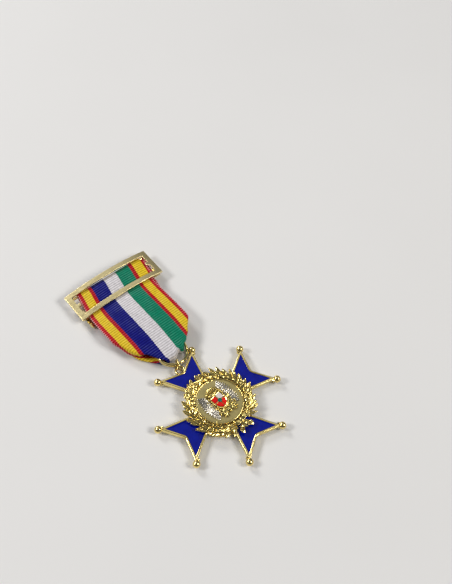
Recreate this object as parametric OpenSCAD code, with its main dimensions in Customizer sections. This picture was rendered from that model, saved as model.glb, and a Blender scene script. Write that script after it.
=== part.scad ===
// Military service medal: an enamelled cross pendant on a striped ribbon,
// hung from a bent buckle bar that carries a brooch pin and a turning catch.
// It lies on its back: +Z comes out of its face, +Y runs from the cross to the buckle.

/* [Cross] */
// Distance from the cross's centre to the centre of each ball
tip_radius = 24.15; // [22:0.05:26]
// Radius of the balls on the eight points
ball_r = 1.4; // [1.1:0.05:1.6]
// Turn of the cross about its own centre as it lies
cross_tilt = 8.39; // [0:0.01:10]
// Radius at which the V notch in the end of each arm starts
notch_y = 18.1; // [17.5:0.1:18.5]
// Rise of the notch's sides over their run
notch_slope = 0.45; // [0.4:0.01:0.5]
// Width of the gold border round each enamel field
border_w = 0.9; // [0.7:0.05:1.2]
// Thickness of the struck arms
arm_t = 1.8; // [1.4:0.1:2.2]
// Depth of the recess that holds the enamel
enamel_depth = 0.5; // [0.3:0.05:0.8]

/* [Centre] */
// Radius of the disc on the reverse
reverse_r = 12.3; // [12:0.1:13]
// Thickness of the disc on the reverse
reverse_t = 0.9; // [0.7:0.1:1.2]
// Radius of the medallion
medallion_r = 8.7; // [8:0.1:9]
// Height of the medallion's field above the arms
medallion_h = 1.6; // [1.2:0.1:2]
// Radius of the circle through the wreath's leaf tips
wreath_r = 13; // [12.6:0.1:13.4]
// Leaves along the outer side of each branch
leaf_count = 9; // [7:1:11]

/* [Rings] */
// Wire diameter of the split ring
split_wire = 0.95; // [0.8:0.05:1]
// Radius from the split ring's centre to its wire's centre
split_r = 5.7; // [5.4:0.05:5.9]
// Wire diameter of the jump ring
jump_wire = 0.75; // [0.65:0.05:0.8]
// Radius from the jump ring's centre to its wire's centre
jump_r = 2.05; // [2:0.05:2.15]
// Wire diameter of the eyelet
eyelet_wire = 0.85; // [0.75:0.05:0.9]
// Radius from the eyelet's centre to its wire's centre
eyelet_r = 1.675; // [1.6:0.025:1.75]

/* [Ribbon] */
// Width of the ribbon
ribbon_w = 30; // [29:0.5:30.5]
// Thickness of the ribbon
ribbon_t = 0.3; // [0.2:0.05:0.3]
// Stitches in the seam that closes the ribbon's loop
stitch_count = 13; // [9:2:17]

/* [Buckle] */
// Length of the buckle along the ribbon's width
buckle_l = 38.4; // [37.5:0.1:39]
// Height of the buckle
buckle_h = 13.2; // [13:0.1:13.6]
// Distance from the cross's centre to the buckle's centre
drop = 65.1; // [64.8:0.1:66]
// Width of the top and bottom bars
rail_w = 2.2; // [2:0.1:2.4]
// Width of the end bars
stile_w = 2.3; // [2.1:0.1:2.5]
// Thickness of the bent plate
buckle_t = 0.8; // [0.7:0.05:0.9]
// Rise of the plate's middle above its ends
bend_rise = 2; // [1.6:0.1:2.2]
// Height of the plate's upper face at its ends
end_z = 4; // [4:0.1:4.2]

/* [Brooch] */
// Radius of the needle's wire
needle_r = 0.38; // [0.34:0.01:0.38]
// Height of the needle's axis over the surface that the medal lies on
needle_z = 1.2; // [1.2:0.01:1.22]
// Radius of the turning sleeve in the catch
sleeve_r = 0.75; // [0.72:0.01:0.75]
// Reach of the sleeve's thumb tab from its axis
tab_reach = 5.6; // [4:0.1:6]

/* [Hidden] */
$fn = 96;

gold = [0.80, 0.69, 0.42];
satin_gold = [0.72, 0.64, 0.36];
silver = [0.75, 0.74, 0.70];
royal_blue = [0.01, 0.04, 0.50];
crimson = [0.75, 0.05, 0.07];
chalk = [0.88, 0.84, 0.83];
emerald = [0.05, 0.42, 0.33];

// The whole object's box is centred on the origin in X and Y
ball_half_angle = 22.5;
pendant_reach = tip_radius * cos(ball_half_angle - cross_tilt) + ball_r;
cross_y = -(drop + buckle_h / 2 - pendant_reach) / 2;

// Heights in the pendant's stack
arm_z = reverse_t;
face_z = arm_z + arm_t;
enamel_z = face_z - enamel_depth;
enamel_top_gap = 0.1;
field_z = face_z + medallion_h;
wreath_base_t = 0.9;
leaf_z = face_z + 0.6;
leaf_t = 0.9;
wreath_in_r = medallion_r + 0.25;

// Arms of the cross
side_slope = tan(ball_half_angle);
side_shift = 0.3;
hub_r = 8.8;
field_root_y = 9.3;
root_y = 5;

// Rings and eyelet
eyelet_y = 19.6;
eyelet_z = 1.9;
split_x = -0.8;
split_y = 26.9;
split_pitch = split_wire + 0.05;
split_z = 3.33;
jump_z = 2.87;
eyelet_x_row = -eyelet_y * sin(cross_tilt);
eyelet_y_row = eyelet_y * cos(cross_tilt);
link_angle = atan2(split_y - eyelet_y_row, split_x - eyelet_x_row);
link_d = norm([split_x - eyelet_x_row, split_y - eyelet_y_row]);
jump_d = (split_r + link_d - eyelet_r) / 2;

// Buckle and brooch
buckle_x = -0.43;
buckle_y = cross_y + drop;
bend_r = (pow(buckle_l / 2, 2) + pow(bend_rise, 2)) / (2 * bend_rise);
bend_z = end_z + bend_rise - bend_r;
window_l = buckle_l - 2 * stile_w;
window_h = buckle_h - 2 * rail_w;
prong_w = 1.4;
prong_l = 1.3;
plate_t = 0.45;
plate_top_z = 2.6;
plate_z = plate_top_z - plate_t;
plate_y = buckle_y - 4.5;
plate_h = 3.4;
plate_l = 36.6;
spacer_l = 1.9;
hinge_x = buckle_x + 14.4;
ear_t = 0.6;
ear_r = 0.9;
rivet_r = 0.4;
rivet_clear = 0.05;
eye_r = 1;
eye_t = 1;
side_gap = 0.1;
catch_x = buckle_x - 15.3;
catch_l = 1.4;
catch_wall = 0.35;
catch_clear = 0.05;
catch_slot = 1;
sleeve_l = 3.4;
tab_w = 1.3;
tab_t = 0.5;
needle_tip_x = catch_x - 1.9;
needle_taper = 5;
bar_r = 0.5;
bar_y = buckle_y + 4.3;
bar_z = 3;

// Emblem
shield_t = 0.9;
inlay_depth = 0.3;
shield_w = 5.6;
shield_top = 2.9;
shield_foot = -3.5;

// ---- Shared shapes ----

// Straight side of an arm, moved in by inset, as X at a given Y
function side_x(y, inset) = side_slope * y - side_shift - inset / cos(ball_half_angle);

// The point where an arm's side meets its notch, both moved in by inset
function notch_base(inset) = notch_y - inset / cos(atan(notch_slope));
function point_x(inset) = (side_x(notch_base(inset), inset)) / (1 - side_slope * notch_slope);
function arm_points(inset, root) = let (
        px = point_x(inset),
        py = notch_base(inset) + notch_slope * px
    ) [
        [side_x(root, inset), root], [px, py], [0, notch_base(inset)],
        [-px, py], [-side_x(root, inset), root]
    ];

module torus(r, wire) {
    rotate_extrude() translate([r, 0]) circle(d = wire, $fn = 32);
}

// A pointed leaf that starts at the origin and grows along +Y
module leaf(len, w) {
    arc_r = (len * len + w * w) / (4 * w);
    intersection() {
        translate([arc_r - w / 2, len / 2]) circle(r = arc_r);
        translate([w / 2 - arc_r, len / 2]) circle(r = arc_r);
    }
}

module on_pendant() {
    translate([0, cross_y, 0]) rotate([0, 0, cross_tilt]) children();
}

// A block that the bent plate's curve cuts to its own face
module under_bend(r) {
    intersection() {
        translate([buckle_x, buckle_y + buckle_h, bend_z]) rotate([90, 0, 0])
            cylinder(r = r, h = 2 * buckle_h, $fn = 360);
        children();
    }
}

// ---- Buckle and brooch ----

module buckle_frame() {
    color(gold) difference() {
        under_bend(bend_r) translate([buckle_x - buckle_l / 2, buckle_y - buckle_h / 2, end_z - 1])
            cube([buckle_l, buckle_h, bend_rise + 2]);
        translate([buckle_x, buckle_y + buckle_h, bend_z]) rotate([90, 0, 0])
            cylinder(r = bend_r - buckle_t, h = 2 * buckle_h, $fn = 360);
        difference() {
            translate([buckle_x - window_l / 2, buckle_y - window_h / 2, 0])
                cube([window_l, window_h, end_z + bend_rise + 1]);
            for (side = [-1, 1])
                translate([buckle_x + side * (window_l / 2 - prong_l / 2), buckle_y, 0])
                    translate([-prong_l / 2, -prong_w / 2, -1])
                        cube([prong_l, prong_w, end_z + bend_rise + 3]);
        }
    }
}

module carrier_bar() {
    color(gold) under_bend(bend_r - buckle_t) union() {
        translate([buckle_x - buckle_l / 2 + 0.5, bar_y, bar_z]) rotate([0, 90, 0])
            cylinder(r = bar_r, h = buckle_l - 1);
        for (side = [-1, 1])
            translate([buckle_x + side * (buckle_l / 2 - 1.4) - 0.9, bar_y - bar_r, bar_z])
                cube([1.8, 2 * bar_r, 2]);
    }
}

module pin_plate() {
    color(gold) translate([buckle_x - plate_l / 2, plate_y - plate_h / 2, plate_z])
        cube([plate_l, plate_h, plate_t]);
}

module plate_spacers() {
    color(gold) under_bend(bend_r - buckle_t)
        for (side = [-1, 1])
            translate([buckle_x + side * (plate_l / 2 - spacer_l / 2) - spacer_l / 2,
                       plate_y - plate_h / 2, plate_top_z])
                cube([spacer_l, plate_h, end_z]);
}

module hinge_bracket() {
    color(gold) difference() {
        union() {
            for (side = [-1, 1])
                translate([hinge_x, plate_y + side * (eye_t / 2 + side_gap + ear_t / 2), needle_z]) {
                    rotate([90, 0, 0]) cylinder(r = ear_r, h = ear_t, center = true);
                    translate([-ear_r, -ear_t / 2, 0]) cube([2 * ear_r, ear_t, plate_z - needle_z]);
                }
            translate([hinge_x + ear_r + 0.1, plate_y - eye_t / 2 - side_gap - ear_t, plate_z - 0.4])
                cube([1.2, eye_t + 2 * side_gap + 2 * ear_t, 0.4]);
            translate([hinge_x, plate_y - eye_t / 2 - side_gap - ear_t, plate_z - 0.4])
                cube([ear_r + 0.2, ear_t, 0.4]);
            translate([hinge_x, plate_y + eye_t / 2 + side_gap, plate_z - 0.4])
                cube([ear_r + 0.2, ear_t, 0.4]);
        }
        translate([hinge_x, plate_y, needle_z]) rotate([90, 0, 0])
            cylinder(r = rivet_r, h = 6, center = true);
    }
}

module hinge_rivet() {
    span = eye_t + 2 * side_gap + 2 * ear_t;
    head_t = 0.25;
    color(silver) translate([hinge_x, plate_y, needle_z]) rotate([90, 0, 0]) {
        cylinder(r = rivet_r, h = span, center = true);
        for (side = [-1, 1])
            translate([0, 0, side * (span + head_t) / 2])
                cylinder(r = rivet_r + 0.3, h = head_t, center = true);
    }
}

module needle() {
    straight = hinge_x - needle_tip_x - needle_taper;
    color(silver) difference() {
        translate([hinge_x, plate_y, needle_z]) union() {
            rotate([90, 0, 0]) cylinder(r = eye_r * 0.85, h = eye_t, center = true);
            rotate([0, -90, 0]) cylinder(r = needle_r, h = straight);
            translate([-straight, 0, 0]) rotate([0, -90, 0])
                cylinder(r1 = needle_r, r2 = 0.06, h = needle_taper);
        }
        translate([hinge_x, plate_y, needle_z]) rotate([90, 0, 0])
            cylinder(r = rivet_r + rivet_clear, h = 3, center = true);
    }
}

module catch_body() {
    outer = sleeve_r + catch_clear + catch_wall;
    color(gold) difference() {
        translate([catch_x, plate_y, needle_z]) union() {
            rotate([0, 90, 0]) cylinder(r = outer, h = catch_l, center = true);
            translate([-catch_l / 2, -outer, 0]) cube([catch_l, 2 * outer, plate_z - needle_z]);
        }
        translate([catch_x, plate_y, needle_z]) rotate([0, 90, 0])
            cylinder(r = sleeve_r + catch_clear, h = catch_l + 1, center = true);
        translate([catch_x - catch_l, plate_y - catch_slot / 2, needle_z - 2])
            cube([2 * catch_l, catch_slot, 2]);
        translate([catch_x - catch_l, plate_y - 2, plate_z]) cube([2 * catch_l, 4, 2]);
    }
}

module catch_sleeve() {
    tab_x = catch_x - catch_l / 2 - 0.15 - tab_w;
    color(gold) difference() {
        translate([catch_x, plate_y, needle_z]) union() {
            rotate([0, 90, 0]) cylinder(r = sleeve_r, h = sleeve_l, center = true);
            translate([tab_x - catch_x, -tab_reach + tab_w / 2, -tab_t / 2])
                cube([tab_w, tab_reach - tab_w / 2, tab_t]);
            translate([tab_x - catch_x + tab_w / 2, -tab_reach + tab_w / 2, 0])
                cylinder(r = tab_w / 2, h = tab_t, center = true);
        }
        translate([catch_x, plate_y, needle_z]) rotate([0, 90, 0])
            cylinder(r = needle_r + 0.08, h = sleeve_l + 1, center = true);
        translate([catch_x - sleeve_l, plate_y - needle_r - 0.08, needle_z - 2])
            cube([2 * sleeve_l, 2 * needle_r + 0.16, 2]);
    }
}

// ---- Ribbon ----

// Stations along the ribbon's loop: distance up from the cross's centre, height,
// left and right edge, and how far the middle arches over the edges
ribbon_x = -0.6;
ribbon_l = ribbon_x - ribbon_w / 2;
ribbon_r = ribbon_x + ribbon_w / 2;
fold_l = -4.6;
fold_r = 2.9;
loop_stations = [
    [56.5, 3.1, ribbon_l, ribbon_r, 0.1], [62, 3.1, ribbon_l, ribbon_r, 0.1],
    [66, 2.4, ribbon_l, ribbon_r, 0], [68.6, 2.2, ribbon_l, ribbon_r, 0],
    [70, 2.4, ribbon_l, ribbon_r, 0], [70.3, 3.1, ribbon_l, ribbon_r, 0],
    [69.8, 3.7, ribbon_l, ribbon_r, 0.3], [68, 3.75, ribbon_l, ribbon_r, 1],
    [65, 3.7, ribbon_l, ribbon_r, 1.2], [61, 3.68, ribbon_l, ribbon_r, 1.2],
    [58, 3.65, ribbon_l, ribbon_r, 1.2], [54, 4.1, ribbon_l, ribbon_r, 1.2],
    [48, 4.8, ribbon_l, ribbon_r, 0.9], [43, 5.1, ribbon_l, ribbon_r, 0.6],
    [37.5, 5.1, -12.8, ribbon_r - 0.2, 0.5], [31, 5, -8.8, 9.8, 0.4], [27, 4.9, -6.3, 6.7, 0.2],
    [25.1, 4.7, -5, 3.6, 0], [24.5, 4, fold_l, fold_r, 0], [24.3, 3.2, fold_l, fold_r, 0],
    [24.5, 2.2, fold_l, fold_r, 0], [25.1, 1.6, -5, 3.6, 0], [27, 1.3, -7.2, 6.4, 0],
    [31, 0.9, -10.6, 9.4, 0], [37.5, 0.5, -14.4, 13.9, 0], [43, 0.3, ribbon_l, ribbon_r, 0],
    [50, 0.6, ribbon_l, ribbon_r, 0], [54, 1.4, ribbon_l, ribbon_r, 0],
    [57.5, 2.76, ribbon_l, ribbon_r, 0.1], [60.5, 2.78, ribbon_l, ribbon_r, 0.1]
];
strip_cells = 10;

// Unit normal of the loop at a station, pointing out of the loop
function loop_normal(i) = let (
        a = loop_stations[max(i - 1, 0)],
        b = loop_stations[min(i + 1, len(loop_stations) - 1)],
        d = [b[0] - a[0], b[1] - a[1]]
    ) [-d[1], d[0]] / norm(d);

function loop_point(i, j, side) = let (
        s = loop_stations[i],
        f = 2 * j / strip_cells - 1,
        n = loop_normal(i)
    ) [
        s[2] + (s[3] - s[2]) * j / strip_cells,
        cross_y + s[0] + side * n[0] * ribbon_t / 2,
        s[1] + s[4] * (1 - f * f) + side * n[1] * ribbon_t / 2
    ];

module ribbon() {
    rows = len(loop_stations);
    cols = strip_cells + 1;
    sheet = rows * cols;
    points = [for (side = [1, -1], i = [0 : rows - 1], j = [0 : strip_cells]) loop_point(i, j, side)];
    upper = [for (i = [0 : rows - 2], j = [0 : strip_cells - 1]) let (p = i * cols + j)
        each [[p, p + 1, p + cols + 1], [p, p + cols + 1, p + cols]]];
    lower = [for (i = [0 : rows - 2], j = [0 : strip_cells - 1]) let (p = sheet + i * cols + j)
        each [[p, p + cols + 1, p + 1], [p, p + cols, p + cols + 1]]];
    ends = [for (row = [0, rows - 1], j = [0 : strip_cells - 1])
        let (p = row * cols + j, q = p + sheet)
            each row == 0 ? [[p, q, q + 1], [p, q + 1, p + 1]] : [[p, q + 1, q], [p, p + 1, q + 1]]];
    edges = [for (i = [0 : rows - 2], col = [0, strip_cells])
        let (p = i * cols + col, q = p + sheet)
            each col == 0 ? [[p, q + cols, q], [p, p + cols, q + cols]]
                          : [[p, q, q + cols], [p, q + cols, p + cols]]];
    color(chalk) polyhedron(points = points, faces = concat(upper, lower, ends, edges));
}

module seam_thread() {
    pitch = (ribbon_w - 3) / (stitch_count - 1);
    stitch_l = 1.4;
    color(chalk) for (i = [0 : stitch_count - 1])
        translate([ribbon_l + 1.5 + i * pitch - stitch_l / 2, cross_y + 57.6, 2.46])
            cube([stitch_l, 0.3, 0.12]);
}

// ---- Rings ----

module split_ring() {
    color(gold) translate([split_x, cross_y + split_y, split_z])
        for (side = [-1, 1])
            translate([0, 0, side * split_pitch / 2]) torus(split_r, split_wire);
}

module jump_ring() {
    color(gold) translate([
        split_x - jump_d * cos(link_angle), cross_y + split_y - jump_d * sin(link_angle), jump_z
    ]) rotate([0, 0, link_angle]) rotate([90, 0, 0]) torus(jump_r, jump_wire);
}

module eyelet() {
    color(gold) on_pendant() translate([0, eyelet_y, eyelet_z]) torus(eyelet_r, eyelet_wire);
}

// ---- Cross ----

module cross_body() {
    color(gold) on_pendant() difference() {
        union() {
            translate([0, 0, arm_z]) linear_extrude(arm_t) union() {
                circle(r = hub_r);
                for (arm = [0 : 3]) rotate([0, 0, 90 * arm]) polygon(arm_points(0, root_y));
            }
            for (point = [0 : 7])
                rotate([0, 0, 45 * point + ball_half_angle]) translate([tip_radius, 0, eyelet_z])
                    sphere(r = ball_r, $fn = 48);
        }
        for (arm = [0 : 3]) rotate([0, 0, 90 * arm]) translate([0, 0, enamel_z])
            linear_extrude(arm_t) polygon(arm_points(border_w, field_root_y));
        for (side = [-1, 1]) translate([side * 5, 0, 0]) cylinder(r = 0.55, h = 4);
    }
}

module enamel_field(arm) {
    color(royal_blue) on_pendant() rotate([0, 0, 90 * arm]) translate([0, 0, enamel_z])
        linear_extrude(enamel_depth - enamel_top_gap)
            polygon(arm_points(border_w, field_root_y));
}
module enamel_top() { enamel_field(0); }
module enamel_left() { enamel_field(1); }
module enamel_bottom() { enamel_field(2); }
module enamel_right() { enamel_field(3); }

module reverse_disc() {
    recess = 0.3;
    color(gold) on_pendant() difference() {
        cylinder(r = reverse_r, h = reverse_t);
        translate([0, 0, -1]) cylinder(r = reverse_r - 1.6, h = 1 + recess);
        for (side = [-1, 1]) translate([side * 5, 0, 0]) cylinder(r = 0.55, h = 4);
    }
}

module fixing_rivets() {
    color(gold) on_pendant() for (side = [-1, 1]) translate([side * 5, 0, 0]) {
        translate([0, 0, 0.05]) cylinder(r = 0.95, h = 0.25);
        translate([0, 0, 0.05]) cylinder(r = 0.5, h = face_z - 0.05);
    }
}

// ---- Wreath ----

// One branch, from the bow at the foot to the gap at the top; side is -1 left, 1 right
module branch(side) {
    start = 16;
    step = (180 - 2 * start) / leaf_count;
    on_pendant() mirror([side < 0 ? 1 : 0, 0, 0]) {
        translate([0, 0, face_z]) rotate([0, 0, start - 90])
            rotate_extrude(angle = 176 - start)
                translate([wreath_in_r, 0]) square([reverse_r - 0.2 - wreath_in_r, wreath_base_t]);
        translate([0, 0, leaf_z]) linear_extrude(leaf_t) union()
            for (i = [0 : leaf_count - 1]) {
                a = start - 90 + i * step;
                rotate([0, 0, a]) translate([wreath_in_r + 2.2, 0])
                    rotate([0, 0, -34]) leaf(4.2, 1.9);
            }
        translate([0, 0, leaf_z]) linear_extrude(leaf_t + 0.3) union()
            for (i = [0 : leaf_count - 1]) {
                a = start - 90 + (i + 0.5) * step;
                rotate([0, 0, a]) translate([wreath_in_r + 1.3, -1.5]) leaf(4.4, 1.8);
            }
    }
}
module wreath_left() { color(gold) branch(-1); }
module wreath_right() { color(gold) branch(1); }

module wreath_bow() {
    knot_y = -(wreath_in_r + reverse_r) / 2;
    color(gold) on_pendant() translate([0, knot_y, face_z]) union() {
        cylinder(r = 1.2, h = 1.6);
        for (side = [-1, 1]) {
            rotate([0, 0, side * 150]) translate([0, 0.6, 0])
                linear_extrude(1) leaf(4.6, 1.6);
            rotate([0, 0, side * 98]) translate([0, 0.5, 0]) linear_extrude(1.3) leaf(2.1, 1.5);
        }
    }
}

// ---- Medallion and emblem ----

module medallion() {
    color(satin_gold) on_pendant() translate([0, 0, face_z]) difference() {
        cylinder(r = medallion_r, h = medallion_h);
        translate([0, 0, medallion_h - 0.3]) difference() {
            cylinder(r = medallion_r + 1, h = 1);
            translate([0, 0, -1]) cylinder(r = medallion_r - 0.6, h = 3);
        }
    }
}

module medallion_rim() {
    color(gold) on_pendant() translate([0, 0, field_z - 0.3]) rotate_extrude()
        translate([medallion_r - 0.6, 0]) square([0.6, 0.55]);
}

// A raised wing whose long feathers fan out from a straight shoulder beside the shield
module wing(side) {
    feathers = 6;
    on_pendant() mirror([side < 0 ? 1 : 0, 0, 0]) translate([3.05, 0, field_z])
        linear_extrude(0.6) union() {
            translate([0, -1.6]) square([0.8, 5.4]);
            for (i = [0 : feathers - 1])
                translate([0.37, 3.4 - 0.85 * i]) rotate([0, 0, -12 - 22 * i])
                    leaf(3.9 - 0.2 * abs(i - 2.5), 1.3);
        }
}
module wing_left() { color(silver) wing(-1); }
module wing_right() { color(silver) wing(1); }

// Heater outline: square shoulders, sides that turn in to a point at the foot
function heater(inset) = let (
        half = shield_w / 2 - inset,
        top = shield_top - inset,
        foot = shield_foot + 1.3 * inset,
        turn = 0.2
    ) concat(
        [[half, top]],
        [for (i = [0 : 8]) let (a = 90 * i / 8)
            [half * cos(a), turn - (turn - foot) * sin(a)]],
        [for (i = [7 : -1 : 0]) let (a = 90 * i / 8)
            [-half * cos(a), turn - (turn - foot) * sin(a)]],
        [[-half, top]]
    );

// The quarters of the shield inside its rim, parted by a gold cross; qx, qy choose one
module quarter(qx, qy) {
    bar = 0.16;
    size = 5;
    difference() {
        intersection() {
            polygon(heater(0.5));
            translate([qx > 0 ? bar : -bar - size, qy > 0 ? bar : -bar - size]) square(size);
        }
        circle(r = 1.1);
    }
}

module shield() {
    color(gold) on_pendant() translate([0, 0, field_z]) difference() {
        linear_extrude(shield_t) polygon(heater(0));
        translate([0, 0, shield_t - inlay_depth]) linear_extrude(1) union() {
            for (qx = [-1, 1], qy = [-1, 1]) quarter(qx, qy);
            circle(r = 0.8);
        }
    }
}

module shield_red() {
    color(crimson) on_pendant() translate([0, 0, field_z + shield_t - inlay_depth])
        linear_extrude(inlay_depth) union() {
            quarter(-1, 1);
            quarter(-1, -1);
            quarter(1, -1);
        }
}

module shield_white() {
    color(chalk) on_pendant() translate([0, 0, field_z + shield_t - inlay_depth])
        linear_extrude(inlay_depth) quarter(1, 1);
}

module shield_boss() {
    color(emerald) on_pendant() translate([0, 0, field_z + shield_t - inlay_depth])
        cylinder(r = 0.8, h = inlay_depth + 0.1);
}

module coronet() {
    spikes = 5;
    band_y = shield_top + 0.15;
    color(gold) on_pendant() translate([0, 0, field_z]) union() {
        translate([-1.7, band_y, 0]) cube([3.4, 0.7, 0.9]);
        for (i = [0 : spikes - 1]) {
            x = -1.5 + 3 * i / (spikes - 1);
            lift = 1.9 - 0.12 * pow(x, 2);
            translate([x - 0.16, band_y + 0.6, 0]) cube([0.32, lift - 0.6, 0.7]);
            translate([x, band_y + lift, 0]) cylinder(r = 0.34, h = 0.8);
        }
    }
}

module emblem_sprays() {
    color(gold) on_pendant() translate([0, 0, field_z]) union() {
        linear_extrude(0.5) difference() {
            translate([0, -1]) circle(r = 5.2);
            translate([0, 0.2]) circle(r = 5.4);
            translate([-6, -3.6]) square([12, 8]);
        }
        translate([0, -5.6, 0]) cylinder(r = 0.8, h = 0.7);
    }
}

buckle_frame();
carrier_bar();
pin_plate();
plate_spacers();
hinge_bracket();
hinge_rivet();
catch_body();
ribbon();
seam_thread();
needle();
catch_sleeve();
split_ring();
jump_ring();
cross_body();
eyelet();
enamel_top();
enamel_left();
enamel_bottom();
enamel_right();
reverse_disc();
fixing_rivets();
wreath_left();
wreath_right();
wreath_bow();
medallion();
medallion_rim();
wing_left();
wing_right();
shield();
shield_red();
shield_white();
shield_boss();
coronet();
emblem_sprays();
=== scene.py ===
"""Looks of the enamelled cross medal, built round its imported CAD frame.

Sizes are in millimetres and become metres when a mesh is made. The cross's own pieces are drawn
upright about its centre, and on_cross turns and moves them into place.
"""

import math
import random

import bmesh
import bpy
import numpy as np
from mathutils import Matrix, Vector, geometry


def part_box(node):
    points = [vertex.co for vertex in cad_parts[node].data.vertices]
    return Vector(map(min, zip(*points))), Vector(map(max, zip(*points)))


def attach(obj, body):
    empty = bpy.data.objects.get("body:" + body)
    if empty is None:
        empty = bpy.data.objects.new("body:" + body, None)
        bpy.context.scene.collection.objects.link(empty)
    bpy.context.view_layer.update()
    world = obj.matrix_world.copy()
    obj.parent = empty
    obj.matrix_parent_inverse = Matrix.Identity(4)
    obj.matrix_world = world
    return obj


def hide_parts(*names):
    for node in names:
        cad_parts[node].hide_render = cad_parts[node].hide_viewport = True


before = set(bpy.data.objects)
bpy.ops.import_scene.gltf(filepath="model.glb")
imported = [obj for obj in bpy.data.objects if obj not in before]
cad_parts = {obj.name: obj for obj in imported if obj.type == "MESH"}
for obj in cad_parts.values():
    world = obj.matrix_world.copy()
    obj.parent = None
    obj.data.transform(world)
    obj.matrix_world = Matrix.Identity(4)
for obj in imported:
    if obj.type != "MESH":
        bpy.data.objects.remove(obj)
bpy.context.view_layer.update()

MM = 0.001
UP = (0, 0, 1)
SIDES = (-1, 1)
rng = random.Random(7)


def limits(node):
    """The lowest and the highest corner of a CAD node, in millimetres."""
    low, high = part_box(node)
    return np.array(low) / MM, np.array(high) / MM


def centre_of(node):
    low, high = limits(node)
    return (low + high) / 2


CROSS_TILT = 8.39
CROSS_AT = centre_of("medallion")[:2]


# ---- Mesh tools: a shape is a pair of points, in millimetres, and faces ----

WELD_WITHIN = 2e-7
SHORTEST_EDGE = 1e-8
# Space between staggered rows as a share of the space within a row
ROW_SHARE = 0.866


def link_object(name, data):
    obj = bpy.data.objects.new(name, data)
    bpy.context.scene.collection.objects.link(obj)
    return obj


def clean(mesh, weld):
    """Drops loose vertices and turns every face outward. Weld joins the vertices that meet."""
    work = bmesh.new()
    work.from_mesh(mesh)
    bmesh.ops.delete(work, geom=[v for v in work.verts if not v.link_faces])
    if weld:
        bmesh.ops.remove_doubles(work, verts=work.verts, dist=WELD_WITHIN)
        bmesh.ops.dissolve_degenerate(work, edges=work.edges, dist=SHORTEST_EDGE)
    bmesh.ops.recalc_face_normals(work, faces=work.faces)
    work.to_mesh(mesh)
    work.free()


def build(name, shape, material, body, slot, node, sharp=60, attributes=None):
    """Makes one piece. It is welded unless its points carry attributes."""
    points, faces = shape
    mesh = bpy.data.meshes.new(name)
    mesh.from_pydata((points * MM).tolist(), [], faces)
    for key, values in (attributes or {}).items():
        mesh.attributes.new(key, "FLOAT", "POINT").data.foreach_set("value", values)
    clean(mesh, weld=attributes is None)
    mesh.polygons.foreach_set("use_smooth", [True] * len(mesh.polygons))
    mesh.set_sharp_from_angle(angle=math.radians(sharp))
    mesh.materials.append(material)
    obj = link_object(name, mesh)
    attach(obj, body)
    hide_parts(node)
    return obj


def cross_piece(name, shape, material, node, sharp=60, slot="gilt_metal"):
    return build(name, on_cross(shape), material, "pendant", slot, node, sharp)


def soften(obj, width, segments=3, angle=40):
    bevel = obj.modifiers.new("edge", "BEVEL")
    bevel.width = width * MM
    bevel.segments = segments
    bevel.limit_method = "ANGLE"
    bevel.angle_limit = math.radians(angle)
    bevel.harden_normals = True


def join(*shapes):
    all_points, all_faces, count = [], [], 0
    for points, faces in shapes:
        all_points.append(points)
        all_faces += [tuple(i + count for i in face) for face in faces]
        count += len(points)
    return np.vstack(all_points), all_faces


def pairs(items):
    """Each item with the next one, and the last with the first."""
    return zip(items, items[1:] + items[:1])


def grid_faces(rows, cols, close_rows=False, close_cols=False):
    """Faces between the points of a grid, which may wrap round in either direction."""
    faces = []
    for i in range(rows if close_rows else rows - 1):
        row, next_row = i * cols, (i + 1) % rows * cols
        for j in range(cols if close_cols else cols - 1):
            k = (j + 1) % cols
            faces.append((row + j, row + k, next_row + k, next_row + j))
    return faces


def close_below(faces, rim, count):
    """Adds the same faces for an underside, count points further on, and walls along the rim's sides."""
    below = [tuple(i + count for i in face[::-1]) for face in faces]
    return faces + below + [(a, a + count, b + count, b) for a, b in rim]


def two_skins(upper, lower):
    """A closed shape from two grids of points. Walls join their edges, and vanish where those meet."""
    rows, cols = upper.shape[:2]
    index = np.arange(rows * cols).reshape(rows, cols)
    rim = np.concatenate([index[0, :-1], index[:-1, -1], index[-1, :0:-1], index[:0:-1, 0]]).tolist()
    faces = close_below(grid_faces(rows, cols), pairs(rim), rows * cols)
    return np.vstack([upper.reshape(-1, 3), lower.reshape(-1, 3)]), faces


def tube(rings, closed=False):
    """A solid from rings of points. Open ends get a flat cap."""
    rows, cols = rings.shape[:2]
    faces = grid_faces(rows, cols, close_rows=closed, close_cols=True)
    if not closed:
        faces += [tuple(range(cols))[::-1], tuple(range((rows - 1) * cols, rows * cols))]
    return rings.reshape(-1, 3), faces


def polar(radius, degrees, z):
    angle = math.radians(degrees)
    return radius * math.cos(angle), radius * math.sin(angle), z


def circle(radius, sides):
    angle = np.arange(sides) * 2 * math.pi / sides
    return radius * np.column_stack([np.cos(angle), np.sin(angle)])


def lathe(profile, sides):
    """Turns (radius, height) points about Z, from the axis back to the axis."""
    ring = circle(1, sides)
    rings = [np.column_stack([radius * ring, np.full(sides, height)]) for radius, height in profile]
    return np.vstack(rings), grid_faces(len(profile), sides, close_cols=True)


def unit(vectors):
    return vectors / np.linalg.norm(vectors, axis=-1, keepdims=True)


def around(points):
    """From the point before to the point after, along a closed line."""
    return np.roll(points, -1, 0) - np.roll(points, 1, 0)


def frames_along(path, up, closed):
    """The sideways and the upward direction at each point of a path."""
    tangent = unit(around(path) if closed else np.gradient(path, axis=0))
    side = unit(np.cross(tangent, up))
    return side, np.cross(side, tangent)


def sweep(path, section, up=UP, closed=False, scale=1.0):
    """Sweeps a closed section of (side, up) points along a path."""
    side, lift = frames_along(path, up, closed)
    scale = np.broadcast_to(scale, len(path))[:, None, None]
    offset = section[:, :1] * side[:, None] + section[:, 1:] * lift[:, None]
    return tube(path[:, None] + scale * offset, closed)


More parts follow.
